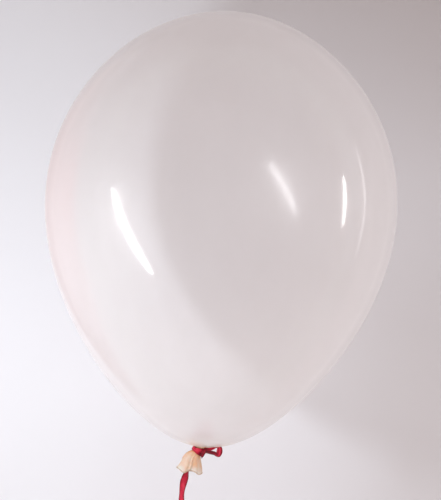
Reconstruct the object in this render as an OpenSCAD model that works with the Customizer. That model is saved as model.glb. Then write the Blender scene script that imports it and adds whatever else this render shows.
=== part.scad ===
// A tied latex balloon with a satin ribbon. The origin is the tie, on the bulb's axis.
// +Z runs from the tie to the crown. The knot and the bow face -Y.

/* [Bulb] */
// Length of the blown bulb from the tie to the crown
bulb_length = 362; // [335:1:380]
// Wall of the film
film_wall = 0.4; // [0.4:0.1:0.8]
// Wall of the thicker zones at the crown and above the tie
thick_wall = 0.8; // [0.8:0.1:1.2]
// Radius of the thicker spot at the crown
crown_r = 13; // [10:1:20]
// Radius where the throat turns into the thin film
throat_r = 14; // [12:1:20]

/* [Neck] */
// Radius of the bunched neck inside the ribbon
neck_r = 4.3; // [4.3:0.1:4.5]
// Half the width of the flattened collar at its mouth
collar_half_width = 11; // [9:0.5:12]
// Length of the collar from its root to its mouth
collar_length = 12.5; // [11:0.5:13]
// Wall of the collar
collar_wall = 0.8; // [0.6:0.1:1]
// Radius of the rolled bead at the mouth
lip_r = 0.9; // [0.7:0.1:1]

/* [Ribbon] */
// Width of the ribbon
ribbon_w = 6; // [5:0.5:6]
// Thickness given to the ribbon
ribbon_t = 0.8; // [0.6:0.1:0.8]
// Turns of ribbon in the hank
hank_turns = 4; // [3:1:4]
// Distance from one turn of the hank to the next
hank_pitch = 6.5; // [6.2:0.1:6.5]

/* [Hidden] */

latex = [0.93, 0.91, 0.90];
thick_latex = [0.93, 0.84, 0.74];
crimson = [0.72, 0.11, 0.22];
dark_crimson = [0.45, 0.08, 0.15];

// The bulb stands this far above the origin, so that the ribbon fits under it.
bulb_base = 1.8;
// The mouth of the throat, which leaves room round the bunched neck.
throat_hole_r = 5;
// The bulb's radius is sqrt(t(1-t)) times this curve, t running from the tie to the crown.
bulb_curve = [211.5, 225.8, -140.4];
bulb_curve_length = 362;
bulb_scale = bulb_length / bulb_curve_length;
bulb_sides = 128;

// The turns lean with the neck, which bends to the left below the bulb.
tie_centre = [-4.6, 0, -3.4];
tie_lean = 30;
tie_half = 2.4;
tie_bore = 4.2;
tie_outer = 5.2;
tie_bulge = 0.2;

// The bunched neck comes down out of the bulb, and leans over as it enters the turns.
gather_route = [[0, 0, 1.6], [-0.2, 0, 0.7], [-0.9, 0, -0.5], [-2.3, 0, -1.7], [-3.6, 0, -2.6],
                [-4.7, 0, -3.6], [-5.3, 0, -4.5]];
gather_sides = 32;
gather_pleats = 8;
gather_pleat = 0.04;
// It is narrower by this much at its top, and has its full lean after this share of its length.
gather_taper = 0.3;
gather_bend = 0.625;

// The collar turns about this point. Its root is round about it, so that it never binds.
collar_pivot = [-6.9, 0, -7.2];
collar_lean = 24;
collar_root_r = 2.9;
collar_rows = 12;
collar_sides = 48;
// The hollow of the collar begins at this row. Above it the collar is solid.
collar_hollow_row = 4;
collar_taper = 0.4;
collar_pleats = 8;
collar_pleat = 0.25;
// The mouth rises and dips by this much, in this many waves.
mouth_waves = 4;
mouth_wave = 0.7;
lip_sides = 8;

knot_centre = [-1, -6.8, -1.2];
knot_r = 2.6;
knot_depth = 2;

bow_y = -6.6;
bow_route = [[1.9, -1.0], [4.4, -0.2], [7.0, 0.7], [9.6, 1.0], [12.0, 0.6], [13.6, -0.8], [13.7, -2.6],
             [12.4, -3.9], [10.0, -4.2], [7.2, -3.7], [4.6, -2.9], [1.9, -2.0]];

short_route = [[-1.6, -7.9, -3.9], [-2.0, -8.2, -5.4], [-2.6, -8.0, -7.4]];
short_w = 3.6;

// The tail hangs behind the collar. The hank's turns start where it ends.
tail_route = [[-6.5, 6.4, -4.5], [-8.4, 6.4, -8.4], [-10.6, 6.4, -12.6], [-12.8, 6.4, -16.8],
              [-14.6, 6.4, -21], [-15.7, 6.4, -26], [-16.3, 6.4, -32], [-16.5, 6.2, -38],
              [-16.5, 5.4, -44], [-16.5, 3.4, -50], [-16.5, 0.2, -56]];

hank_x = -16.5;
hank_y = 6.4;
hank_r = 18;
hank_waist = 4;
hank_top = -78;
hank_bottom = -162;
hank_steps = 24;
tie_band = 6;
tie_wall = 1.2;
// The room between the hank's waist and the band, across the hank and through its depth.
band_room = [0.6, 0.4];

function bulb_r(t) = t <= 0 || t >= 1 ? 0 :
    bulb_scale * sqrt(t * (1 - t)) * (bulb_curve[0] + bulb_curve[1] * t + bulb_curve[2] * t * t);
// The value of t at which the bulb has this radius, between two values that bracket it.
function t_at(r, low, high, step = 0) =
    let (mid = (low + high) / 2)
    step == 24 ? mid :
    (bulb_r(mid) < r) == (bulb_r(low) < bulb_r(high)) ? t_at(r, mid, high, step + 1) :
    t_at(r, low, mid, step + 1);

throat_low_t = t_at(throat_hole_r, 0, 0.1);
throat_t = t_at(throat_r, 0, 0.1);
crown_t = t_at(crown_r, 0.9, 1);

// Points along the bulb from one t to another, closer together towards both ends.
function bulb_points(from, to, count) =
    [for (i = [0:count])
        let (a = acos(1 - 2 * from), b = acos(1 - 2 * to), t = (1 - cos(a + (b - a) * i / count)) / 2)
        [bulb_r(t), bulb_base + t * bulb_length]];

// The same points moved inwards by a wall, square to the curve.
function inset(points, wall) =
    [for (i = [0:len(points) - 1])
        let (a = points[max(i - 1, 0)], b = points[min(i + 1, len(points) - 1)], d = (b - a) / norm(b - a))
        [max(points[i][0] - d[1] * wall, 0), points[i][1] + d[0] * wall]];

function backwards(list) = [for (i = [len(list) - 1:-1:0]) list[i]];

module bulb_zone(from, to, count, wall) {
    outer = bulb_points(from, to, count);
    rotate_extrude($fn = bulb_sides) polygon(concat(outer, backwards(inset(outer, wall))));
}

// A closed solid through rings of points, with the first and last ring filled in.
module skin(rings) {
    n = len(rings[0]);
    rows = len(rings);
    sides = [for (i = [0:rows - 2], j = [0:n - 1])
        let (k = (j + 1) % n)
        each [[i * n + j, i * n + k, (i + 1) * n + k], [i * n + j, (i + 1) * n + k, (i + 1) * n + j]]];
    first = [for (j = [n - 1:-1:0]) j];
    last = [for (j = [0:n - 1]) (rows - 1) * n + j];
    polyhedron([for (ring = rings) each ring], concat(sides, [first, last]));
}

// A flat ribbon along a route. Its width lies along the direction across.
module tape(route, across, width) {
    count = len(route);
    outline = [[-1, -0.3], [-0.92, -1], [0.92, -1], [1, -0.3], [1, 0.3], [0.92, 1], [-0.92, 1], [-1, 0.3]];
    skin([for (i = [0:count - 1])
        let (ahead = route[min(i + 1, count - 1)] - route[max(i - 1, 0)],
             face = cross(ahead / norm(ahead), across))
        [for (p = outline) route[i] + across * p[0] * width / 2 + face * p[1] * ribbon_t / 2]]);
}

// A ring of the collar, s running from its root to its mouth, set in by a wall.
function collar_ring(s, wall) =
    let (down = s * collar_length - wall * 0.5,
         wide = collar_root_r + (collar_half_width - collar_root_r) * sin(90 * s) - wall,
         deep = collar_root_r - collar_taper * s - wall)
    [for (j = [0:collar_sides - 1])
        let (a = 360 * j / collar_sides, pleat = collar_pleat * s * (1 - wall) * cos(collar_pleats * a))
        [wide * cos(a), (deep + pleat) * sin(a), -down - mouth_wave * s * cos(mouth_waves * a)]];

module place_collar() {
    translate(collar_pivot) rotate([0, collar_lean, 0]) children();
}

module crown_patch() {
    color(latex) bulb_zone(crown_t, 1, 8, thick_wall);
}

module envelope() {
    color(latex) bulb_zone(throat_t, crown_t, 64, film_wall);
}

module throat() {
    color(thick_latex) bulb_zone(throat_low_t, throat_t, 6, thick_wall);
}

module neck_gather() {
    count = len(gather_route);
    color(thick_latex) skin([for (i = [0:count - 1])
        let (s = i / (count - 1), lean = tie_lean * min(1, s / gather_bend))
        [for (j = [0:gather_sides - 1])
            let (a = 360 * j / gather_sides,
                 pleat = gather_pleat * cos(gather_pleats * a) * (1 - s),
                 r = (neck_r - gather_taper * (1 - s)) * (1 + pleat))
            gather_route[i] + r * [cos(a) * cos(lean), -sin(a), -cos(a) * sin(lean)]]]);
}

module neck_collar() {
    color(thick_latex) place_collar() {
        sphere(r = collar_root_r, $fn = 48);
        outer = [for (i = [1:collar_rows]) collar_ring(i / collar_rows, 0)];
        inner = [for (i = [collar_rows:-1:collar_hollow_row]) collar_ring(i / collar_rows, collar_wall)];
        skin(concat(outer, inner));
    }
}

module rolled_lip() {
    rim = collar_ring(1, collar_wall / 2);
    n = len(rim);
    rings = [for (i = [0:n - 1])
        let (ahead = rim[(i + 1) % n] - rim[(i + n - 1) % n], out = cross(ahead / norm(ahead), [0, 0, 1]))
        [for (j = [0:lip_sides - 1])
            let (a = 360 * j / lip_sides)
            rim[i] + lip_r * (out / norm(out) * cos(a) + [0, 0, 1] * sin(a))]];
    faces = [for (i = [0:n - 1], j = [0:lip_sides - 1])
        let (i2 = (i + 1) % n, j2 = (j + 1) % lip_sides)
        each [[i * lip_sides + j, i2 * lip_sides + j, i2 * lip_sides + j2],
              [i * lip_sides + j, i2 * lip_sides + j2, i * lip_sides + j2]]];
    color(thick_latex) place_collar() polyhedron([for (ring = rings) each ring], faces);
}

module ribbon_turns() {
    color(crimson) translate(tie_centre) rotate([0, tie_lean, 0]) rotate_extrude($fn = 64)
        for (side = [-1, 1]) translate([0, side * tie_half / 2])
            polygon([[tie_bore, -tie_half / 2], [tie_outer - tie_bulge, -tie_half / 2], [tie_outer, 0],
                     [tie_outer - tie_bulge, tie_half / 2], [tie_bore, tie_half / 2]]);
}

module ribbon_knot() {
    color(dark_crimson) translate(knot_centre) rotate([90, 0, 0]) rotate_extrude($fn = 48)
        polygon([for (a = [-90:10:90]) [knot_r * cos(a), knot_depth * sin(a)]]);
}

module bow_loop() {
    color(crimson) tape([for (p = bow_route) [p[0], bow_y, p[1]]], [0, 1, 0], ribbon_w);
}

module ribbon_short_end() {
    color(dark_crimson) tape(short_route, [1, 0, 0], short_w);
}

module ribbon_tail() {
    color(crimson) tape(tail_route, [1, 0, 0], ribbon_w);
}

// Half the hank's depth at a height: round ends, and a waist where the band holds it.
function hank_depth(z) =
    hank_waist + (hank_r - hank_waist) * (0.5 + 0.5 * cos(360 * (z - hank_top) / (hank_bottom - hank_top)));

function hank_outline(grow) =
    let (ends = [for (a = [0:15:180]) [cos(a), sin(a)] * (hank_r + grow)],
         down = [for (i = [1:hank_steps - 1])
             let (z = hank_top + (hank_bottom - hank_top) * i / hank_steps) [-hank_depth(z) - grow, z]])
    concat([for (p = ends) [p[0], hank_top + p[1]]], down, [for (p = ends) [-p[0], hank_bottom - p[1]]],
           [for (p = backwards(down)) [-p[0], p[1]]]);

hank_width = hank_turns * hank_pitch + ribbon_w;

// The band's outline grown by a wall, as a block as high as given.
module band_block(grow, high) {
    room = band_room + [grow, grow];
    translate([hank_x - ribbon_w / 2 - room[0], hank_y - hank_waist - room[1],
               (hank_top + hank_bottom) / 2 - high / 2])
        cube([hank_width + 2 * room[0], 2 * (hank_waist + room[1]), high]);
}

module hank_tie() {
    color(dark_crimson) difference() {
        band_block(tie_wall, tie_band);
        band_block(0, tie_band + 2);
    }
}

module ribbon_hank() {
    color(crimson) difference() {
        translate([hank_x - ribbon_w / 2, hank_y, 0]) rotate([90, 0, 90])
            linear_extrude(hank_width) polygon(hank_outline(ribbon_t / 2));
        band_block(tie_wall, tie_band);
    }
    color(crimson) band_block(0, tie_band);
}

crown_patch();
envelope();
throat();
neck_gather();
neck_collar();
rolled_lip();
ribbon_turns();
ribbon_knot();
bow_loop();
ribbon_short_end();
ribbon_tail();
ribbon_hank();
hank_tie();
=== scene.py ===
import math
import bmesh
import bpy
from mathutils import Matrix, Vector


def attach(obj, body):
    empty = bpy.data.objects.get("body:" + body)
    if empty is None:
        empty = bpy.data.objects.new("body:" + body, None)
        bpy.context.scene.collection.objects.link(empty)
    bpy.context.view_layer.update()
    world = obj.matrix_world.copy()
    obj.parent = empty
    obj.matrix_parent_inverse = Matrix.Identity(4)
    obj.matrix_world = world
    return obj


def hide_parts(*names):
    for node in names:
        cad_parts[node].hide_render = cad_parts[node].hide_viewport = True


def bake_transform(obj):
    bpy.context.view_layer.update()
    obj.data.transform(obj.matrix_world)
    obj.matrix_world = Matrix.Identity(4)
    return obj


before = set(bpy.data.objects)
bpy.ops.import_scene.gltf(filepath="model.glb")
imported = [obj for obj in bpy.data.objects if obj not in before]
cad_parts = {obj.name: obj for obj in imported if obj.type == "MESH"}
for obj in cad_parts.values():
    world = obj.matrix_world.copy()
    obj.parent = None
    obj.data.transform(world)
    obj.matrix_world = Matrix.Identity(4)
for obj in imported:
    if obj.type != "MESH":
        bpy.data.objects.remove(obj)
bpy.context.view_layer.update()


# ---------------------------------------------------------------- camera and studio
# A pale paper sweep hangs close behind the balloon and runs out under it as the floor. The balloon
# leans a little in its own weightless balance, so the camera is rolled against the bulb's axis.

MM = 0.001
scene = bpy.context.scene
scene.view_settings.view_transform = "Standard"
bulb_middle = Vector((0, 0, 200 * MM))

camera_place = (2.0 * MM, -1300 * MM, 166.1 * MM)
camera_lens, camera_film = 112.4, 36
camera_roll = math.radians(3.75)
camera_right = Vector((math.cos(camera_roll), 0, math.sin(camera_roll)))
camera_up = Vector((-math.sin(camera_roll), 0, math.cos(camera_roll)))
camera = bpy.data.objects.new("camera", bpy.data.cameras.new("camera"))
camera.data.lens = camera_lens
camera.data.sensor_width = camera_film
camera.matrix_world = Matrix.Translation(camera_place) @ Matrix(
    (camera_right, camera_up, (0, -1, 0))).transposed().to_4x4()
scene.collection.objects.link(camera)
scene.camera = camera


class Link:
    """A socket in a node tree. Arithmetic on it adds Math nodes, and node() adds any other node."""

    def __init__(self, tree, socket=None):
        self.tree, self.socket = tree, socket

    def node(self, kind, settings=None, values=None, output=0):
        """Adds a node, sets it first and then its sockets, and returns one of its outputs."""
        made = self.tree.nodes.new(kind)
        for name, value in (settings or {}).items():
            if name == "stops":
                while len(made.color_ramp.elements) < len(value):
                    made.color_ramp.elements.new(1)
                for stop, (place, colour) in zip(made.color_ramp.elements, value):
                    stop.position, stop.color = place, colour
            else:
                setattr(made, name, value)
        for name, value in (values or {}).items():
            if isinstance(value, Link):
                self.tree.links.new(value.socket, made.inputs[name])
            else:
                made.inputs[name].default_value = value
        return Link(self.tree, made.outputs[output]) if len(made.outputs) else None

    def maths(self, operation, *values, first=None):
        places = [self if first is None else first] + list(values)
        return self.node("ShaderNodeMath", {"operation": operation}, dict(enumerate(places)))

    def __add__(self, other): return self.maths("ADD", other)
    def __sub__(self, other): return self.maths("SUBTRACT", other)
    def __mul__(self, other): return self.maths("MULTIPLY", other)
    def __truediv__(self, other): return self.maths("DIVIDE", other)
    def __pow__(self, other): return self.maths("POWER", other)
    def __radd__(self, other): return self.maths("ADD", self, first=other)
    def __rsub__(self, other): return self.maths("SUBTRACT", self, first=other)
    def __rmul__(self, other): return self.maths("MULTIPLY", self, first=other)
    def __rtruediv__(self, other): return self.maths("DIVIDE", self, first=other)
    def __rpow__(self, other): return self.maths("POWER", self, first=other)


def new_material(name):
    """A material with an empty tree, and a Link to build it with."""
    material = bpy.data.materials.new(name)
    material.use_nodes = True
    material.node_tree.nodes.clear()
    return material, Link(material.node_tree)


def new_piece(name, points, faces, material):
    """A smooth-shaded mesh object in the scene, at the origin."""
    mesh = bpy.data.meshes.new(name)
    mesh.from_pydata([tuple(p) for p in points], [], faces)
    mesh.polygons.foreach_set("use_smooth", [True] * len(mesh.polygons))
    mesh.materials.append(material)
    piece = bpy.data.objects.new(name, mesh)
    scene.collection.objects.link(piece)
    return piece


# The paper is cool white at the lower left, with painted shade, brownish, towards the upper right and
# down its right side. It can't be seen from behind, so that the back of the balloon can be looked at
# too.
paper_white, paper_shade_colour = (0.83, 0.825, 0.85, 1), (0.43, 0.36, 0.34, 1)
smooth_step = {"interpolation_type": "SMOOTHSTEP"}
paper, shade = new_material("sweep_paper")
on_paper = shade.node("ShaderNodeTexCoord", output="Object")
fibres = shade.node("ShaderNodeTexNoise", {}, {"Vector": on_paper, "Scale": 900.0, "Detail": 3.0})
paper_grain = shade.node("ShaderNodeBump", {}, {
    "Strength": 0.04, "Distance": 0.0002, "Height": fibres})
paper_height = shade.node("ShaderNodeSeparateXYZ", {}, {0: on_paper}, output="Z")
paper_across = shade.node("ShaderNodeSeparateXYZ", {}, {0: on_paper}, output="X")
# Painted shade: the paper is darkened towards the upper right, and along its right side low down.
shade_above = shade.node("ShaderNodeMapRange", smooth_step, {
    "Value": paper_across * 0.6 + paper_height, "From Min": 0.22, "From Max": 0.62,
    "To Min": 0.0, "To Max": 0.58})
shade_right = shade.node("ShaderNodeMapRange", smooth_step, {
    "Value": paper_across, "From Min": 0.04, "From Max": 0.22, "To Min": 0.0, "To Max": 0.28})
lower_part = shade.node("ShaderNodeMapRange", smooth_step, {
    "Value": paper_height, "From Min": 0.10, "From Max": 0.26, "To Min": 1.0, "To Max": 0.0})
paper_colour = shade.node("ShaderNodeMix", {"data_type": "RGBA"}, {
    0: shade_above + shade_right * lower_part, 6: paper_white, 7: paper_shade_colour}, output=2)
paper_front = shade.node("ShaderNodeBsdfDiffuse", {}, {"Color": paper_colour, "Normal": paper_grain})
from_behind = shade.node("ShaderNodeNewGeometry", output="Backfacing")
unseen = shade.node("ShaderNodeBsdfTransparent")
sheet = shade.node("ShaderNodeMixShader", {}, {0: from_behind, 1: paper_front, 2: unseen})
shade.node("ShaderNodeOutputMaterial", {}, {"Surface": sheet})

sweep_left, sweep_right = -0.85, 1.2
sweep_front, sweep_back, sweep_bend = -2.5, 0.156, 0.2
floor_level, sweep_top = -0.3, 1.5
sweep_line = [(sweep_front, floor_level)] + [
    (sweep_back - sweep_bend + sweep_bend * math.sin(math.radians(a)),
     floor_level + sweep_bend - sweep_bend * math.cos(math.radians(a))) for a in range(0, 91, 5)
] + [(sweep_back, sweep_top)]
sweep = new_piece(
    "sweep",
    [(x, y, z) for y, z in sweep_line for x in (sweep_left, sweep_right)],
    [(2 * i, 2 * i + 1, 2 * i + 3, 2 * i + 2) for i in range(len(sweep_line) - 1)],
    paper)

room_colour, room_strength = (1.0, 0.911, 0.90, 1), 0.56
world = bpy.data.worlds.new("room")
world.use_nodes = True
world.node_tree.nodes["Background"].inputs["Color"].default_value = room_colour
world.node_tree.nodes["Background"].inputs["Strength"].default_value = room_strength
scene.world = world


def light(name, place, aim, along, wide, high, watts, colour, glossy=True, diffuse=True):
    """An oval light facing a point, with its height running along a direction."""
    data = bpy.data.lights.new(name, "AREA")
    data.shape, data.size, data.size_y = "ELLIPSE", wide, high
    data.energy, data.color = watts, colour
    lamp = bpy.data.objects.new(name, data)
    back = (Vector(place) - Vector(aim)).normalized()
    side = Vector(along).cross(back).normalized()
    lamp.matrix_world = Matrix.Translation(place) @ Matrix(
        (side, back.cross(side), back)).transposed().to_4x4()
    lamp.visible_glossy, lamp.visible_diffuse = glossy, diffuse
    scene.collection.objects.link(lamp)


# The slanted lamp at the left is what the film mirrors. Its own glow and the other soft lights reach
# only what is matt, and the two thin ones at the right reach only what is glossy.
slant, upright = (-0.27, -0.028, 0.194), (0, 0, 1)
wall_foot = (0, 0.156, 0)
light("lamp_strip", (-0.330, -0.265, 0.098), bulb_middle, slant, 0.028, 0.320, 0.86,
      (0.95, 0.97, 1.0), diffuse=False)
light("lamp_glow", (-0.36, -0.25, 0.04), bulb_middle, slant, 0.06, 0.12, 1.24,
      (0.84, 0.93, 1.0), glossy=False)
light("table_glow", (0.0, -0.36, -0.19), wall_foot, upright, 1.0, 0.18, 0.76,
      (1.0, 0.975, 0.935), glossy=False)
light("right_fill", (0.9, -0.12, 0.1), bulb_middle, upright, 0.3, 0.6, 1.3,
      (1.0, 0.93, 0.93), glossy=False)
light("right_gap", (1.09, -0.2, 0.295), bulb_middle, upright, 0.04, 0.40, 1.2,
      (1.0, 0.98, 0.96), diffuse=False)
light("right_edge", (1.0, 0.13, 0.30), bulb_middle, upright, 0.02, 0.75, 0.25,
      (1.0, 0.98, 0.98), diffuse=False)

# A card that only reflections see gives the film's left edge its pink band. It is pale near the
# balloon and at its top, and red far from it and low down.
card_pale, card_red = (0.72, 0.46, 0.46, 1), (0.30, 0.04, 0.01, 1)
card_far_red, card_far_deep = (0.95, 0.04, 0.01, 1), (0.65, 0.03, 0.0, 1)
card_top_pale = (0.78, 0.72, 0.74, 1)
card_left, card_right, card_behind, card_foot, card_head = -0.80, -0.20, 0.13, -0.3, 0.55
card_material, shade = new_material("warm_card")
on_card = shade.node("ShaderNodeTexCoord", output="Object")
card_across = shade.node("ShaderNodeSeparateXYZ", {}, {0: on_card}, output="X")
card_height = shade.node("ShaderNodeSeparateXYZ", {}, {0: on_card}, output="Z")
card_far = shade.node("ShaderNodeMapRange", {}, {
    "Value": card_across, "From Min": -0.25, "From Max": -0.6})
card_low = shade.node("ShaderNodeMapRange", {}, {
    "Value": card_height, "From Min": 0.14, "From Max": -0.04})
card_high = shade.node("ShaderNodeMapRange", {}, {
    "Value": card_height, "From Min": 0.25, "From Max": 0.52})
near_colour = shade.node("ShaderNodeMix", {"data_type": "RGBA"}, {
    0: card_low, 6: card_pale, 7: card_red}, output=2)
far_colour = shade.node("ShaderNodeMix", {"data_type": "RGBA"}, {
    0: card_low, 6: card_far_red, 7: card_far_deep}, output=2)
card_colour = shade.node("ShaderNodeMix", {"data_type": "RGBA"}, {
    0: card_far, 6: near_colour, 7: far_colour}, output=2)
card_colour = shade.node("ShaderNodeMix", {"data_type": "RGBA"}, {
    0: card_high, 6: card_colour, 7: card_top_pale}, output=2)
card_face = shade.node("ShaderNodeEmission", {}, {"Color": card_colour, "Strength": 0.95})
shade.node("ShaderNodeOutputMaterial", {}, {"Surface": card_face})
card = new_piece("warm_card", [
    (card_left, card_behind, card_foot), (card_right, card_behind, card_foot),
    (card_right, card_behind, card_head), (card_left, card_behind, card_head)],
    [(0, 1, 2, 3)], card_material)
card.visible_camera = card.visible_shadow = card.visible_diffuse = False


# ---------------------------------------------------------------- ribbon, long end and hank
# A length of crimson satin ribbon, 6 mm wide, woven from fine shiny threads with a firm edge. It
# leaves the tie behind the collar and hangs down. The rest is wound into a hank held by a band.

ribbon_wide, ribbon_thick = 6 * MM, 0.22 * MM

satin_tones = [(0.0, (0.06, 0.002, 0.006, 1)), (0.28, (0.24, 0.006, 0.018, 1)),
               (0.52, (0.55, 0.015, 0.045, 1)), (1.0, (0.80, 0.045, 0.100, 1))]
selvedge_colour, satin_sheen = (0.16, 0.004, 0.014, 1), (1.0, 0.55, 0.6, 1)
threads_across, floats_along, ribs_along = 260, 9000, 14000
satin, shade = new_material("crimson_satin")
# Across the ribbon from -0.5 to 0.5, and along it in metres.
across_cloth = shade.node("ShaderNodeAttribute", {"attribute_name": "side"}, output="Fac")
along_cloth = shade.node("ShaderNodeAttribute", {"attribute_name": "along"}, output="Fac")
# Painted shade: the cloth is darkened in each crease's hollow, and where the knot or the collar hides
# it from the light.
crease = shade.node("ShaderNodeAttribute", {"attribute_name": "fold"}, output="Fac")
hidden = shade.node("ShaderNodeAttribute", {"attribute_name": "tuck"}, output="Fac")
thread_wave = (across_cloth * threads_across).maths("SINE") * 0.5 + 0.5
float_shift = (across_cloth * 70).maths("SINE") * 3
float_wave = (along_cloth * floats_along + float_shift).maths("SINE") * 0.5 + 0.5
selvedge = (across_cloth.maths("ABSOLUTE") * 2 - 0.86).maths("MAXIMUM", 0.0) * 7
selvedge_rib = (along_cloth * ribs_along).maths("SINE") * 0.5 + 0.5
on_cloth = shade.node("ShaderNodeCombineXYZ", {}, {"X": along_cloth * 60, "Y": across_cloth * 3})
slub = shade.node("ShaderNodeTexNoise", {}, {"Vector": on_cloth, "Scale": 4.0, "Detail": 3.0})
on_ribbon = shade.node("ShaderNodeTexCoord", output="Object")
mottle = shade.node("ShaderNodeTexNoise", {}, {"Vector": on_ribbon, "Scale": 420.0, "Detail": 2.0})
# Painted shade darkens both sides of the ribbon, which leaves a painted lengthwise highlight down its
# middle.
painted_side_shade = across_cloth * across_cloth * 4
lit = mottle * 0.35 + slub * 0.35 + thread_wave * 0.16 + 0.18 + crease * 0.22 - painted_side_shade * 0.36
# The cloth is darkened by the share of painted shade given at each station.
satin_tone = lit * (1 - hidden * 0.85)
satin_colour = shade.node("ShaderNodeValToRGB", {"stops": satin_tones}, {"Fac": satin_tone})
satin_colour = shade.node("ShaderNodeMix", {"data_type": "RGBA"}, {
    0: selvedge * 0.5, 6: satin_colour, 7: selvedge_colour}, output=2)
weave = thread_wave * 0.5 + float_wave * 0.3 + selvedge * selvedge_rib * 0.8
woven = shade.node("ShaderNodeBump", {}, {"Strength": 0.35, "Distance": 0.00008, "Height": weave})
satin_face = shade.node("ShaderNodeBsdfPrincipled", {}, {
    "Base Color": satin_colour, "Roughness": 0.32 + 0.16 * mottle + selvedge * 0.15,
    "Normal": woven, "Metallic": 0.25, "Anisotropic": 0.55, "Specular IOR Level": 0.35,
    "Sheen Weight": 0.05, "Sheen Roughness": 0.4, "Sheen Tint": satin_sheen})
shade.node("ShaderNodeOutputMaterial", {}, {"Surface": satin_face})


def curve_through(points, steps):
    """Points on a smooth curve through given points, each a tuple of numbers of any length."""
    made = []
    for i in range(len(points) - 1):
        a, b, c, d = (points[max(0, min(len(points) - 1, i + k))] for k in (-1, 0, 1, 2))
        for step in range(steps):
            t = step / steps
            made.append(tuple(
                0.5 * (2 * q + (r - p) * t + (2 * p - 5 * q + 4 * r - s) * t * t
                       + (3 * q - p - 3 * r + s) * t ** 3) for p, q, r, s in zip(a, b, c, d)))
    return made + [tuple(points[-1])]


def input_socket(tree, name, kind):
    """Adds a named input to a node tree, and returns the identifier that a modifier sets it by."""
    socket = tree.interface.new_socket(name, in_out="INPUT", socket_type="NodeSocket" + kind)
    return socket.identifier


def finished_tree(tree, names, whole, material):
    """Ends a node tree: smooth shading, real geometry, its material and its output."""
    build = Link(tree)
    whole = build.node("GeometryNodeSetShadeSmooth", {}, {"Geometry": whole, "Shade Smooth": True})
    whole = build.node("GeometryNodeRealizeInstances", {}, {"Geometry": whole})
    whole = build.node("GeometryNodeSetMaterial", {}, {"Geometry": whole, "Material": material})
    finish = tree.nodes.new("NodeGroupOutput")
    tree.links.new(whole.socket, finish.inputs[0])
    return tree, names


def ribbon_tree():
    """Sweeps a ribbon's section along a line, whose attributes face it, narrow it and trim it."""
    tree = bpy.data.node_groups.new("ribbon_sweep", "GeometryNodeTree")
    names = {n: input_socket(tree, n, k) for n, k in (
        ("Line", "Geometry"), ("Width", "Float"), ("Thickness", "Float"), ("Crown", "Float"),
        ("Crease Depth", "Float"), ("Creases", "Float"), ("Columns", "Int"), ("Cloth", "Material"))}
    tree.interface.new_socket("Ribbon", in_out="OUTPUT", socket_type="NodeSocketGeometry")
    start = tree.nodes.new("NodeGroupInput")
    given = {n: Link(tree, start.outputs[n]) for n in names}
    build = Link(tree)

    line = build.node("GeometryNodeMeshToCurve", {}, {"Mesh": given["Line"]})
    number, arrow = {"data_type": "FLOAT"}, {"data_type": "FLOAT_VECTOR"}
    point_number = {"data_type": "FLOAT", "domain": "POINT"}
    facing = build.node("GeometryNodeInputNamedAttribute", arrow, {"Name": "facing"})
    narrow = build.node("GeometryNodeInputNamedAttribute", number, {"Name": "narrow"})
    line = build.node("GeometryNodeSetCurveNormal", {"mode": "FREE"}, {
        "Curve": line, "Normal": facing})
    run = build.node("GeometryNodeSplineParameter", output="Length")
    line = build.node("GeometryNodeStoreNamedAttribute", point_number, {
        "Geometry": line, "Name": "along", "Value": run})

    half = given["Width"] * 0.5
    across = build.node("GeometryNodeMeshLine", {"mode": "END_POINTS"}, {
        "Count": given["Columns"],
        "Start Location": build.node("ShaderNodeCombineXYZ", {}, {"Y": half * -1}),
        "Offset": build.node("ShaderNodeCombineXYZ", {}, {"Y": half})})
    across = build.node("GeometryNodeMeshToCurve", {}, {"Mesh": across})
    share = build.node("GeometryNodeSplineParameter", output="Factor") - 0.5
    bulge = (0.25 - share * share) * 4 * given["Crown"]
    off_centre = 0.7
    crease = (share * given["Creases"] * (2 * math.pi) + off_centre).maths("COSINE")
    rise = build.node("ShaderNodeCombineXYZ", {}, {"X": bulge + crease * given["Crease Depth"]})
    across = build.node("GeometryNodeSetPosition", {}, {"Geometry": across, "Offset": rise})
    across = build.node("GeometryNodeStoreNamedAttribute", point_number, {
        "Geometry": across, "Name": "side", "Value": share})
    # The painted shade of a crease, darker in its hollow and lighter on its ridge, fades out on a
    # ribbon creased less than a tenth of a millimetre.
    creased = (given["Crease Depth"] * 10000).maths("MINIMUM", 1.0)
    across = build.node("GeometryNodeStoreNamedAttribute", point_number, {
        "Geometry": across, "Name": "fold", "Value": crease * creased})
    cloth = build.node("GeometryNodeCurveToMesh", {}, {
        "Curve": line, "Profile Curve": across, "Scale": narrow})
    side = build.node("GeometryNodeInputNamedAttribute", number, {"Name": "side"})
    trim = build.node("GeometryNodeInputNamedAttribute", arrow, {"Name": "trim"})
    slant_cut = build.node("ShaderNodeVectorMath", {"operation": "SCALE"}, {0: trim, "Scale": side})
    cloth = build.node("GeometryNodeSetPosition", {}, {"Geometry": cloth, "Offset": slant_cut})
    thick = build.node("GeometryNodeExtrudeMesh", {"mode": "FACES"}, {
        "Mesh": cloth, "Offset Scale": given["Thickness"], "Individual": False})
    flipped = build.node("GeometryNodeFlipFaces", {}, {"Mesh": cloth})
    joined = tree.nodes.new("GeometryNodeJoinGeometry")
    tree.links.new(thick.socket, joined.inputs[0])
    tree.links.new(flipped.socket, joined.inputs[0])
    whole = build.node("GeometryNodeMergeByDistance", {}, {
        "Geometry": Link(tree, joined.outputs[0]), "Distance": 0.002 * MM})
    return finished_tree(tree, names, whole, given["Cloth"])


ribbon_sweep, ribbon_inputs = ribbon_tree()


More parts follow.
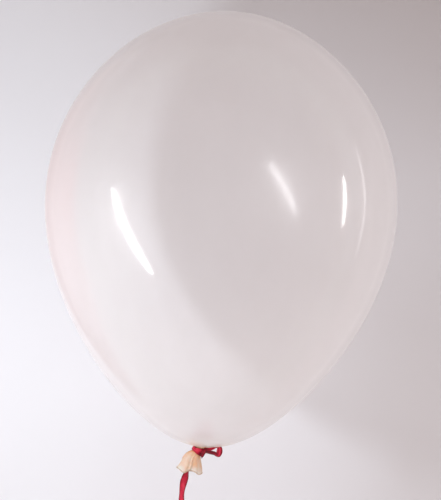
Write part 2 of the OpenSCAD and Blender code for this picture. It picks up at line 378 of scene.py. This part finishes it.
def grown(name, base, tree, names, values):
    """Runs a node tree on a base mesh, and returns what it makes as a plain mesh object."""
    holder = bpy.data.objects.new(name, base)
    scene.collection.objects.link(holder)
    modifier = holder.modifiers.new("grow", "NODES")
    modifier.node_group = tree
    for key, value in values.items():
        modifier[names[key]] = value
    evaluated = holder.evaluated_get(bpy.context.evaluated_depsgraph_get())
    mesh = bpy.data.meshes.new_from_object(evaluated)
    mesh.name = name
    holder.modifiers.clear()
    holder.data = mesh
    return holder


def point_attribute(mesh, name, kind, values):
    """Stores one value or one vector for each point of a mesh."""
    field = "vector" if kind == "FLOAT_VECTOR" else "value"
    mesh.attributes.new(name, kind, "POINT").data.foreach_set(field, values)


def ribbon(name, route, steps=6, crown=0.25 * MM, creases=0.0, crease_depth=0.0, columns=9,
           trims=(0.0, 0.0)):
    """A ribbon through stations of (x, y, z, facing x, y, z, share of the width, share of painted
    shade where it is hidden from the light), in millimetres. Returns the piece and the points of its
    middle line."""
    line = curve_through(route, steps)
    points = [Vector(p[:3]) * MM for p in line]
    base = bpy.data.meshes.new(name + "_line")
    base.from_pydata([tuple(p) for p in points], [(i, i + 1) for i in range(len(line) - 1)], [])
    tangents = [(points[min(i + 1, len(points) - 1)] - points[max(i - 1, 0)]).normalized()
                for i in range(len(points))]
    facings = [(Vector(p[3:6]) - t * t.dot(Vector(p[3:6]))).normalized()
               for p, t in zip(line, tangents)]
    trim = [Vector()] * len(points)
    trim[0], trim[-1] = tangents[0] * trims[0], tangents[-1] * trims[1]
    point_attribute(base, "facing", "FLOAT_VECTOR", [v for f in facings for v in f])
    point_attribute(base, "narrow", "FLOAT", [p[6] for p in line])
    point_attribute(base, "tuck", "FLOAT", [p[7] for p in line])
    point_attribute(base, "trim", "FLOAT_VECTOR", [v for t in trim for v in t])
    return grown(name, base, ribbon_sweep, ribbon_inputs, {
        "Width": ribbon_wide, "Thickness": ribbon_thick, "Crown": crown,
        "Crease Depth": crease_depth, "Creases": creases, "Columns": columns, "Cloth": satin}), points


# Stations of the hanging part: its place in millimetres, how far the ribbon is turned about its own
# length there, in degrees, and how much shade is painted on it where the collar above hides it from
# the light.
hanging = [
    (-5.2, 3.9, -0.9, 0, 0.9), (-5.7, 5.0, -2.3, 4, 0.9), (-6.6, 6.2, -4.5, 16, 0.85),
    (-8.3, 6.9, -8.4, 38, 0.85), (-10.3, 7.2, -12.6, 58, 0.85), (-12.4, 7.2, -16.8, 70, 0.75),
    (-14.1, 6.9, -21, 58, 0.4), (-15.3, 6.5, -26, 18, 0.1), (-16.4, 6.4, -32, -24, 0.15),
    (-16.9, 6.2, -38, -46, 0.1), (-16.9, 5.4, -44, -40, 0.0), (-16.7, 3.4, -50, -18, 0.0),
    (-16.5, 0.2, -56, 0, 0.0)]
into_hank = [(-16.5, -4.6, -62, 0, -1, 0.6, 1.0, 0.0), (-16.5, -8.8, -69, 0, -1, 0.4, 1.0, 0.0)]

hank_x, hank_y, hank_r, hank_waist = -16.5, 6.4, 18.5, 4
hank_top, hank_bottom, hank_pitch, hank_turns = -78, -162, 6.5, 4
hank_middle = hank_x + hank_pitch * hank_turns / 2
last_lane = hank_x + hank_pitch * hank_turns
waist_pinch, waist_tilt = 0.26, math.radians(14)
points_per_turn, last_quarter = 32, 8


def hank_point(turn):
    """A station of the hank, after some turns: down the front, round, up the back and over."""
    run, bend = hank_top - hank_bottom, math.pi * hank_r
    d = (turn % 1) * 2 * (run + bend)
    lane = hank_x + hank_pitch * turn
    if d < run or run + bend <= d < 2 * run + bend:
        down = d if d < run else 2 * run + bend - d
        z = hank_top - down
        pinch = 0.5 - 0.5 * math.cos(2 * math.pi * down / run)
        depth = hank_r - (hank_r - hank_waist) * pinch
        way = -1 if d < run else 1
        y, normal = way * depth, Vector((math.sin(waist_tilt) * pinch, way, 0))
    else:
        at_foot = d < run + bend
        a = (d - run) / hank_r if at_foot else (d - 2 * run - bend) / hank_r
        way = 1 if at_foot else -1
        y = -way * hank_r * math.cos(a)
        z = (hank_bottom if at_foot else hank_top) - way * hank_r * math.sin(a)
        pinch, normal = 0, Vector((0, -way * math.cos(a), -way * math.sin(a)))
    x = hank_middle + (lane - hank_middle) * (1 - waist_pinch * pinch)
    return (x, hank_y + y, z, *normal, 1.0, 0.0)


long_end = []
for x, y, z, turned, shaded in hanging:
    toward = math.radians(turned)
    long_end.append((x, y, z, math.sin(toward), -math.cos(toward), 0, 1.0, shaded))
long_end += into_hank
long_end += [hank_point(i / points_per_turn)
             for i in range(hank_turns * points_per_turn + last_quarter + 1)]
long_end += [(last_lane + 1.5, -11.2, -164, 0, -1, 0, 1.0, 0.0),
             (last_lane + 1.2, -11.0, -170, 0.2, -1, 0, 1.0, 0.0),
             (last_lane + 0.8, -10.6, -176, 0.35, -1, 0, 1.0, 0.0)]
tail, tail_line = ribbon("ribbon_long_end", long_end, steps=3, crown=0.6 * MM, trims=(0.0, 4 * MM))
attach(tail, "tail")
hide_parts("ribbon_tail", "ribbon_hank")

# The band goes once round the hank's waist, on a rounded oblong, and its end laps over its start.
band_half_x, band_half_y, band_corner = 12.4, 5.2, 2.4
band_lap_out, band_lap_up = 0.5, 0.6
band_route = []
for quarter in range(5):
    sx, sy = (1, 1, -1, -1)[quarter % 4], (1, -1, -1, 1)[quarter % 4]
    lapping = quarter == 4
    for share in (0, 0.25, 0.5, 0.75):
        a = math.pi / 2 * (quarter + share)
        out = Vector((math.sin(a), math.cos(a), 0))
        band_route.append((
            hank_middle + sx * (band_half_x - band_corner) + out.x * band_corner,
            hank_y + sy * (band_half_y - band_corner) + out.y * band_corner
            + (band_lap_out if lapping else 0),
            (hank_top + hank_bottom) / 2 + (band_lap_up if lapping else 0), *out, 1.0, 0.0))
band, _ = ribbon("hank_band", band_route[:-2], steps=4)
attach(band, "tail")
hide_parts("hank_tie")


# ---------------------------------------------------------------- bulb
# The blown film of natural latex: one skin that was dipped on a form. It is milky and see-through
# where it is stretched, cream and thick just above the tie, and a shade thicker at the crown.

bulb_length, bulb_base = 362 * MM, 1.8 * MM

film_milk, film_cream = (0.97, 0.94, 0.935, 1), (0.90, 0.80, 0.67, 1)
film_clear, film_shine = (1.0, 0.99, 0.985, 1), (1, 1, 1, 1)
film, shade = new_material("blown_latex")
on_film = shade.node("ShaderNodeTexCoord", output="Object")
from_tie = shade.node("ShaderNodeVectorMath", {"operation": "LENGTH"}, {0: on_film}, output="Value")
from_crown = shade.node("ShaderNodeVectorMath", {"operation": "DISTANCE"}, {
    0: on_film, 1: (0, 0, bulb_base + bulb_length)}, output="Value")
near_tie = shade.node("ShaderNodeMapRange", {"interpolation_type": "SMOOTHERSTEP"}, {
    "Value": from_tie, "From Min": 0.004, "From Max": 0.040, "To Min": 1.0, "To Max": 0.0})
crown_spot = shade.node("ShaderNodeMapRange", smooth_step, {
    "Value": from_crown, "From Min": 0.009, "From Max": 0.02, "To Min": 1.0, "To Max": 0.0})
streaks = shade.node("ShaderNodeMapping", {}, {"Vector": on_film, "Scale": (9, 9, 3)})
film_cloud = shade.node("ShaderNodeTexNoise", {}, {"Vector": streaks, "Scale": 1.6, "Detail": 4.0})
inside = shade.node("ShaderNodeNewGeometry", output="Backfacing")
slantwise = shade.node("ShaderNodeLayerWeight", {}, {"Blend": 0.5}, output="Facing")
# What the film lets through seen straight, raised to the power of its longer way seen slantwise.
straight = (1 - slantwise).maths("MAXIMUM", 0.3)
bare = (0.74 - 0.06 * film_cloud - near_tie * 0.58 - crown_spot * 0.10).maths("MAXIMUM", 0.04)
cover = 1 - bare ** (1 / straight)
milk_colour = shade.node("ShaderNodeMix", {"data_type": "RGBA"}, {
    0: near_tie, 6: film_milk, 7: film_cream}, output=2)
milk_lit = shade.node("ShaderNodeBsdfDiffuse", {}, {"Color": milk_colour})
milk_through = shade.node("ShaderNodeBsdfTranslucent", {}, {"Color": milk_colour})
milk = shade.node("ShaderNodeMixShader", {}, {0: 0.5, 1: milk_lit, 2: milk_through})
see_through = shade.node("ShaderNodeBsdfTransparent", {}, {"Color": film_clear})
skin = shade.node("ShaderNodeMixShader", {}, {0: cover, 1: see_through, 2: milk})
fine = shade.node("ShaderNodeTexNoise", {}, {"Vector": on_film, "Scale": 700.0, "Detail": 2.0})
dimple = shade.node("ShaderNodeBump", {}, {"Strength": 0.02, "Distance": 0.0002, "Height": fine})
sharp_gloss = shade.node("ShaderNodeBsdfGlossy", {}, {
    "Color": film_shine, "Roughness": 0.08 + 0.03 * film_cloud + 0.08 * inside, "Normal": dimple})
haze = shade.node("ShaderNodeBsdfGlossy", {}, {"Color": film_shine, "Roughness": 0.42})
gloss = shade.node("ShaderNodeMixShader", {}, {0: 0.3 + 0.2 * inside, 1: sharp_gloss, 2: haze})
rim_mirror = 0.10 * slantwise * slantwise + 0.6 * slantwise ** 5
mirror = (0.055 + 0.065 * inside + rim_mirror).maths("MINIMUM", 0.32)
film_face = shade.node("ShaderNodeMixShader", {}, {0: mirror, 1: skin, 2: gloss})
shade.node("ShaderNodeOutputMaterial", {}, {"Surface": film_face})


def bulb_tree():
    """Turns a grid into the bulb: round about the axis, and along it by the bulb's own rule."""
    tree = bpy.data.node_groups.new("blown_bulb", "GeometryNodeTree")
    names = {n: input_socket(tree, n, k) for n, k in (
        ("Length", "Float"), ("Base", "Float"), ("Radius at Tie", "Float"), ("Radius Rise", "Float"),
        ("Radius Fall", "Float"), ("Around", "Int"), ("Rows", "Int"), ("Pleats", "Float"),
        ("Pleat Depth", "Float"), ("Pleat Reach", "Float"), ("Latex", "Material"))}
    tree.interface.new_socket("Bulb", in_out="OUTPUT", socket_type="NodeSocketGeometry")
    start = tree.nodes.new("NodeGroupInput")
    given = {n: Link(tree, start.outputs[n]) for n in names}
    build = Link(tree)
    grid = build.node("GeometryNodeMeshGrid", {}, {
        "Size X": 1.0, "Size Y": 1.0,
        "Vertices X": given["Around"] + 1, "Vertices Y": given["Rows"]})
    spot = build.node("GeometryNodeInputPosition")
    u = build.node("ShaderNodeSeparateXYZ", {}, {0: spot}, output="X") + 0.5
    v = build.node("ShaderNodeSeparateXYZ", {}, {0: spot}, output="Y") + 0.5
    angle = u * (2 * math.pi)
    t = 0.5 - (v * math.pi).maths("COSINE") * 0.5
    rise = (t * (1 - t)).maths("MAXIMUM", 0.0) ** 0.5
    curve = given["Radius at Tie"] + given["Radius Rise"] * t + given["Radius Fall"] * t * t
    radius = rise * curve
    near = (radius / given["Pleat Reach"]) ** 2
    fade = near * math.e ** (1 - near)
    drifts, drift = 3, 1.3
    wave = angle * given["Pleats"] + (angle * drifts).maths("SINE") * drift
    ridge = wave.maths("COSINE") * given["Pleat Depth"] * fade
    height = given["Base"] + t * given["Length"] + ridge
    at = build.node("ShaderNodeCombineXYZ", {}, {
        "X": radius * angle.maths("COSINE"), "Y": radius * angle.maths("SINE"), "Z": height})
    shaped = build.node("GeometryNodeSetPosition", {}, {"Geometry": grid, "Position": at})
    closed = build.node("GeometryNodeMergeByDistance", {}, {
        "Geometry": shaped, "Distance": 0.01 * MM})
    return finished_tree(tree, names, closed, given["Latex"])


bulb_maker, bulb_names = bulb_tree()
bulb = grown("bulb_film", bpy.data.meshes.new("bulb_seed"), bulb_maker, bulb_names, {
    "Length": bulb_length, "Base": bulb_base, "Radius at Tie": 211.5 * MM,
    "Radius Rise": 225.8 * MM, "Radius Fall": -140.4 * MM, "Around": 256, "Rows": 181,
    "Pleats": 13.0, "Pleat Depth": 0.3 * MM, "Pleat Reach": 8.0 * MM, "Latex": film})
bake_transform(bulb)
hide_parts("envelope", "crown_patch", "throat")


# ---------------------------------------------------------------- gathered neck
# Below the bulb the skin was never blown. It is drawn together in lengthwise pleats, a solid bunch
# about 9 mm across, and runs slantwise down through the ribbon.

speck_colour = (0.42, 0.27, 0.16, 1)


def latex(name, deep, pale, wrinkle_count, gloss):
    """Unblown natural latex: cream, faintly see-through, wrinkled lengthwise, with a few specks."""
    material, shade = new_material(name)
    place = shade.node("ShaderNodeTexCoord", output="Object")
    down = shade.node("ShaderNodeAttribute", {"attribute_name": "down"}, output="Fac")
    around = shade.node("ShaderNodeAttribute", {"attribute_name": "around"}, output="Fac")
    cloud = shade.node("ShaderNodeTexNoise", {}, {"Vector": place, "Scale": 160.0, "Detail": 4.0})
    grain = shade.node("ShaderNodeTexNoise", {}, {"Vector": place, "Scale": 1800.0, "Detail": 2.0})
    drawn = shade.node("ShaderNodeCombineXYZ", {}, {"X": around * wrinkle_count, "Y": down * 1.4})
    wrinkle = shade.node("ShaderNodeTexNoise", {}, {"Vector": drawn, "Scale": 1.0, "Detail": 3.0})
    depth = (0.9 - down * 0.7).maths("MAXIMUM", 0.1)
    cells = shade.node("ShaderNodeTexVoronoi", {}, {
        "Vector": place, "Scale": 260.0}, output="Distance")
    speck = ((0.05 - cells) * 60).maths("MAXIMUM", 0.0).maths("MINIMUM", 0.3)
    tone = down * 0.6 + cloud * 1.4 + wrinkle * 0.35 - 0.70
    colour = shade.node("ShaderNodeMix", {"data_type": "RGBA"}, {0: tone, 6: deep, 7: pale}, output=2)
    colour = shade.node("ShaderNodeMix", {"data_type": "RGBA"}, {
        0: speck, 6: colour, 7: speck_colour}, output=2)
    height = wrinkle * depth + grain * 0.06
    bump = shade.node("ShaderNodeBump", {}, {"Strength": 0.55, "Distance": 0.0005, "Height": height})
    surface = shade.node("ShaderNodeBsdfPrincipled", {}, {
        "Base Color": colour, "Roughness": gloss + 0.18 * cloud, "Normal": bump,
        "Subsurface Weight": 0.4, "Subsurface Radius": (1.0, 0.5, 0.3), "Subsurface Scale": 0.0015,
        "IOR": 1.45})
    shade.node("ShaderNodeOutputMaterial", {}, {"Surface": surface})
    return material


def faced_out(piece):
    """Turns every face of a closed piece outwards."""
    shell = bmesh.new()
    shell.from_mesh(piece.data)
    bmesh.ops.recalc_face_normals(shell, faces=shell.faces)
    shell.to_mesh(piece.data)
    shell.free()


def loft(name, rings, around, down, material):
    """A closed skin through rings of points in millimetres, each end closed on its middle."""
    count = len(rings[0])
    points = [Vector(p) * MM for ring in rings for p in ring]
    faces = [(i * count + j, i * count + (j + 1) % count, (i + 1) * count + (j + 1) % count,
              (i + 1) * count + j) for i in range(len(rings) - 1) for j in range(count)]
    for ring, order in ((0, -1), (len(rings) - 1, 1)):
        middle = sum((points[ring * count + j] for j in range(count)), Vector()) / count
        points.append(middle)
        for j in range(count):
            edge = (ring * count + j, ring * count + (j + 1) % count)
            faces.append((edge[0], edge[1], len(points) - 1)[::order])
    piece = new_piece(name, points, faces, material)
    point_attribute(piece.data, "around", "FLOAT", [a for _ in rings for a in around] + [0.0, 0.0])
    point_attribute(piece.data, "down", "FLOAT",
                    [d for d in down for _ in range(count)] + [down[0], down[-1]])
    faced_out(piece)
    return piece


neck_latex = latex("gathered_latex", (0.72, 0.38, 0.20, 1), (0.72, 0.56, 0.44, 1), 60, 0.38)
# Across, up and radius at each station down the neck, in millimetres.
neck_stations = [(0, 3.0, 4.0), (0, 2.4, 6.0), (-0.3, 1.6, 5.4), (-1.2, 0.7, 4.8),
                 (-2.6, -0.3, 4.5), (-4.2, -1.4, 4.4), (-5.4, -2.2, 4.2), (-6.1, -2.9, 3.5),
                 (-6.6, -3.8, 2.8), (-6.9, -4.8, 2.2)]
neck_sides, neck_pleats, neck_pleat_depth, neck_pleat_drift = 96, 11, 0.07, 1.2
neck_line = curve_through(neck_stations, 3)
neck_last = len(neck_line) - 1
neck_round = [j / neck_sides for j in range(neck_sides)]
neck_rings = []
for i, (x, z, r) in enumerate(neck_line):
    x2, z2, _ = neck_line[min(i + 1, neck_last)]
    x1, z1, _ = neck_line[max(i - 1, 0)]
    ahead = Vector((x2 - x1, 0, z2 - z1)).normalized()
    sideways = Vector((0, -1, 0)).cross(ahead)
    ring = []
    for a in neck_round:
        turn = 2 * math.pi * a
        wave = neck_pleats * turn + neck_pleat_drift * math.sin(2 * turn)
        pleat = 1 + neck_pleat_depth * math.cos(wave)
        spoke = math.cos(turn) * sideways + Vector((0, -math.sin(turn), 0))
        ring.append(Vector((x, 0, z)) + r * pleat * spoke)
    neck_rings.append(ring)
neck_down = [i / neck_last for i in range(neck_last + 1)]
neck = loft("pleated_neck", neck_rings, neck_round, neck_down, neck_latex)
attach(neck, "tie")
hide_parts("neck_gather")


# ---------------------------------------------------------------- collar and rolled lip
# The free end of the neck below the ribbon opens as a flattened bell about 22 mm wide. A fold parts
# its front in two lobes, and its mouth ends in the bead that was rolled after the dipping.

collar_latex = latex("collar_latex", (0.72, 0.34, 0.15, 1), (0.71, 0.65, 0.59, 1), 34, 0.40)
# Across and up down each edge, and half the depth from front to back, in millimetres.
collar_left = [(-10.6, -1.4), (-15.2, -3.9), (-18.2, -7.9), (-19.6, -12.0), (-22.7, -16.6)]
collar_right = [(-3.6, -5.4), (-2.8, -9.4), (-2.0, -13.0), (-1.3, -16.4), (-1.0, -19.8)]
collar_depth = [(3.9,), (3.7,), (3.4,), (3.2,), (3.0,)]
collar_skin, collar_columns = 0.45, 128
# Bells of (height, width, place across from -1 to 1): how the front and the back swell and hollow,
# and how far the mouth hangs down there, in millimetres.
front_folds = [(0.18, 0.28, -0.5), (-0.17, 0.13, -0.20), (0.24, 0.07, -0.02), (-0.16, 0.12, 0.17),
               (0.12, 0.20, 0.45), (-0.12, 0.06, 0.66)]
back_folds = [(0.20, 0.35, 0.3), (-0.22, 0.14, -0.25)]
front_mouth = [(3.0, 0.38, -0.45), (-1.1, 0.20, -0.05), (2.5, 0.26, 0.78)]
back_mouth = [(2.2, 0.5, -0.4), (1.4, 0.4, 0.6)]


def bells(place, table):
    """The sum of a table's bells at a place."""
    return sum(tall * math.exp(-((place - peak) / width) ** 2) for tall, width, peak in table)


def collar_point(down, a, inset):
    """A point of the collar, down it from 0 to 1 and round it from its left edge by the front."""
    turn = 2 * math.pi * a
    w = -math.cos(turn)
    front = math.sin(turn) >= 0
    last = len(collar_table) - 1
    lx, lz, rx, rz, depth = collar_table[min(last, round(down * last))]
    half = (rx - lx) / 2, (rz - lz) / 2
    keep = 1 - inset / math.hypot(*half)
    x, z = (lx + rx) / 2 + half[0] * w * keep, (lz + rz) / 2 + half[1] * w * keep
    flat = math.sqrt(max(0.0, 1 - w * w))
    folds = 1 + down * bells(w, front_folds if front else back_folds)
    y = (-1 if front else 1) * (depth * folds - inset) * flat
    hang = down ** 2.2 * bells(w, front_mouth if front else back_mouth)
    return Vector((x, y, z - hang * flat ** 0.5))


collar_levels, inner_start = 33, 4
collar_table = [(*left_edge, *right_edge, *depth) for left_edge, right_edge, depth in zip(
    curve_through(collar_left, 8), curve_through(collar_right, 8), curve_through(collar_depth, 8))]
collar_round = [j / collar_columns for j in range(collar_columns)]
outer_downs = [i / (collar_levels - 1) for i in range(collar_levels)]
inner_downs = outer_downs[:inner_start:-1]
collar_rings = [[collar_point(d, a, 0.0) for a in collar_round] for d in outer_downs]
collar_rings += [[collar_point(d, a, collar_skin) for a in collar_round] for d in inner_downs]
collar = loft("flared_collar", collar_rings, collar_round, outer_downs + inner_downs, collar_latex)
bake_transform(collar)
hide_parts("neck_collar")

lip_latex = latex("rolled_lip_latex", (0.52, 0.36, 0.25, 1), (0.62, 0.49, 0.39, 1), 34, 0.34)
lip_r, lip_sides = 0.5, 12
lip_swells = [(0.10, 7), (0.07, 17)]
lip_middles = [collar_point(1.0, a, collar_skin / 2) for a in collar_round]
lip_points, lip_faces = [], []
for i, middle in enumerate(lip_middles):
    j = (i + 1) % collar_columns
    ahead = (lip_middles[j] - lip_middles[i - 1]).normalized()
    outwards = ahead.cross(Vector((0.3, 0, 0.95))).normalized()
    upwards = outwards.cross(ahead)
    swell = sum(tall * math.sin(count * 2 * math.pi * i / collar_columns)
                for tall, count in lip_swells)
    for k in range(lip_sides):
        turn, k2 = 2 * math.pi * k / lip_sides, (k + 1) % lip_sides
        spoke = math.cos(turn) * outwards + math.sin(turn) * upwards
        lip_points.append((middle + lip_r * (1 + swell) * spoke) * MM)
        lip_faces.append((i * lip_sides + k, i * lip_sides + k2, j * lip_sides + k2,
                          j * lip_sides + k))
lip = new_piece("rolled_lip_bead", lip_points, lip_faces, lip_latex)
point_attribute(lip.data, "around", "FLOAT", [a for a in collar_round for _ in range(lip_sides)])
point_attribute(lip.data, "down", "FLOAT", [0.5] * len(lip_points))
faced_out(lip)
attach(lip, "collar")
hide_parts("rolled_lip")


# ---------------------------------------------------------------- ribbon at the tie
# The same satin ribbon is wound three times round the bunched neck, itself bunched to about 4 mm, and
# knotted in front. One short end hangs from the knot, and one small loop stands out to the side.

turns_count, turns_steps, turns_start = 3.3, 16, -0.5
turns_radius, turns_growth, turns_width = 4.8, 0.26, 0.60
tuck_depth, tuck_run, slip_depth = 2.8, 0.2, 0.5
level_from, level_over, low_lean, lean_lost = 0.9, 0.9, 30, 24
low_x, low_z, gained_x, gained_z = -5.9, -1.9, 2.3, 1.5
knot_shade_at, knot_shade_spread = 50, 30
turns_route = []
for i in range(int(turns_count * turns_steps) + 1):
    share = i / turns_steps
    # The first turn leans with the neck, and the last ones lie level, higher up.
    lift = min(1.0, max(0.0, (share - level_from) / level_over))
    lift = lift * lift * (3 - 2 * lift)
    lean = math.radians(low_lean - lean_lost * lift)
    rightwards = Vector((math.cos(lean), 0, -math.sin(lean)))
    downwards = Vector((-math.sin(lean), 0, -math.cos(lean)))
    a = 2 * math.pi * share + turns_start
    out = math.cos(a) * rightwards - Vector((0, math.sin(a), 0))
    slip = slip_depth * math.sin(2 * math.pi * share * 0.9 + 0.6) * downwards
    # Each end is pushed into the neck, and painted shade on the strands is darkest where they meet
    # the knot.
    to_end = turns_count - share
    tucked = tuck_depth * (max(0.0, 1 - share / tuck_run) + max(0.0, 1 - to_end / tuck_run))
    middle = Vector((low_x + gained_x * lift, 0, low_z + gained_z * lift))
    deep = 0.1 + 0.6 * math.exp(-((math.degrees(a) % 360 - knot_shade_at) / knot_shade_spread) ** 2)
    turns_route.append((*(middle + (turns_radius + turns_growth * share - tucked) * out + slip),
                        *(out + 0.1 * slip), turns_width, deep))
turns, _ = ribbon("ribbon_round_neck", turns_route, steps=3, crown=0.35 * MM, creases=3.0,
                  crease_depth=0.22 * MM, columns=25)
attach(turns, "tie")
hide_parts("ribbon_turns")

# The last number at each station here, and in the short end and the loop below, is how much shade is
# painted on the ribbon there.
knot_route = [
    (0.6, -3.6, 1.4, 0, 0.2, 1.0, 0.40, 0.9), (0.4, -5.8, 1.0, 0, -0.4, 0.9, 0.44, 0.8),
    (0.0, -7.3, 0.1, 0.3, -0.8, 0.6, 0.46, 0.7), (-0.5, -7.9, -1.3, 0.4, -1, 0.1, 0.46, 0.6),
    (-1.1, -7.7, -2.8, 0.3, -1, -0.3, 0.46, 0.7), (-1.7, -6.4, -4.1, 0, -0.6, -0.8, 0.44, 0.9),
    (-2.1, -4.6, -4.8, 0, 0, -1, 0.40, 1.0)]
knot, _ = ribbon("ribbon_knot_wrap", knot_route, crown=0.6 * MM, creases=2.4,
                 crease_depth=0.28 * MM, columns=21)
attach(knot, "tie")
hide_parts("ribbon_knot")

short_route = [
    (-0.4, -6.4, -1.4, 0, -0.6, -0.8, 0.36, 1.0), (-0.9, -7.4, -2.7, 0, -0.9, -0.4, 0.42, 0.8),
    (-1.6, -7.9, -3.8, 0.2, -1, 0, 0.48, 0.7), (-2.3, -8.1, -4.9, 0.3, -1, 0, 0.48, 0.75),
    (-2.8, -8.0, -5.8, 0.3, -1, 0.1, 0.42, 0.8)]
short_end, _ = ribbon("ribbon_short_end_cut", short_route, crown=0.5 * MM, creases=1.6,
                      crease_depth=0.15 * MM, columns=15, trims=(0.0, -2.5 * MM))
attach(short_end, "tie")
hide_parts("ribbon_short_end")

loop_route = [
    (-1.2, -6.4, -0.9, 0, -0.35, 0.94, 0.45, 1.0), (1.2, -7.0, 0.3, -0.1, -0.55, 0.83, 0.52, 0.7),
    (3.7, -7.2, 0.9, -0.2, -0.7, 0.7, 0.62, 0.3), (6.3, -7.2, 2.0, -0.3, -0.7, 0.65, 0.64, 0.15),
    (8.8, -7.0, 3.4, -0.1, -0.6, 0.8, 0.62, 0.1), (10.7, -6.9, 3.3, 0.2, -0.7, 0.65, 0.66, 0.0),
    (11.9, -6.9, 1.6, 0.15, -0.97, 0.1, 0.76, 0.0), (12.1, -6.9, -0.8, 0.1, -1, 0, 0.80, 0.0),
    (11.7, -6.9, -3.1, 0.1, -0.95, -0.3, 0.66, 0.1),
    (10.6, -6.9, -3.8, -0.1, -0.7, -0.7, 0.58, 0.4),
    (8.4, -6.8, -2.3, 0, -0.85, -0.5, 0.60, 0.75), (5.2, -6.8, -1.7, 0, -0.85, -0.5, 0.62, 0.85),
    (2.0, -6.8, -1.4, 0, -0.75, -0.6, 0.56, 0.95), (-1.0, -6.4, -1.6, 0, -0.35, -0.94, 0.45, 1.0)]
loop, _ = ribbon("ribbon_bow_loop", loop_route, crown=0.8 * MM, creases=2.0,
                 crease_depth=0.12 * MM, columns=17)
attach(loop, "bow")
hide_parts("bow_loop")
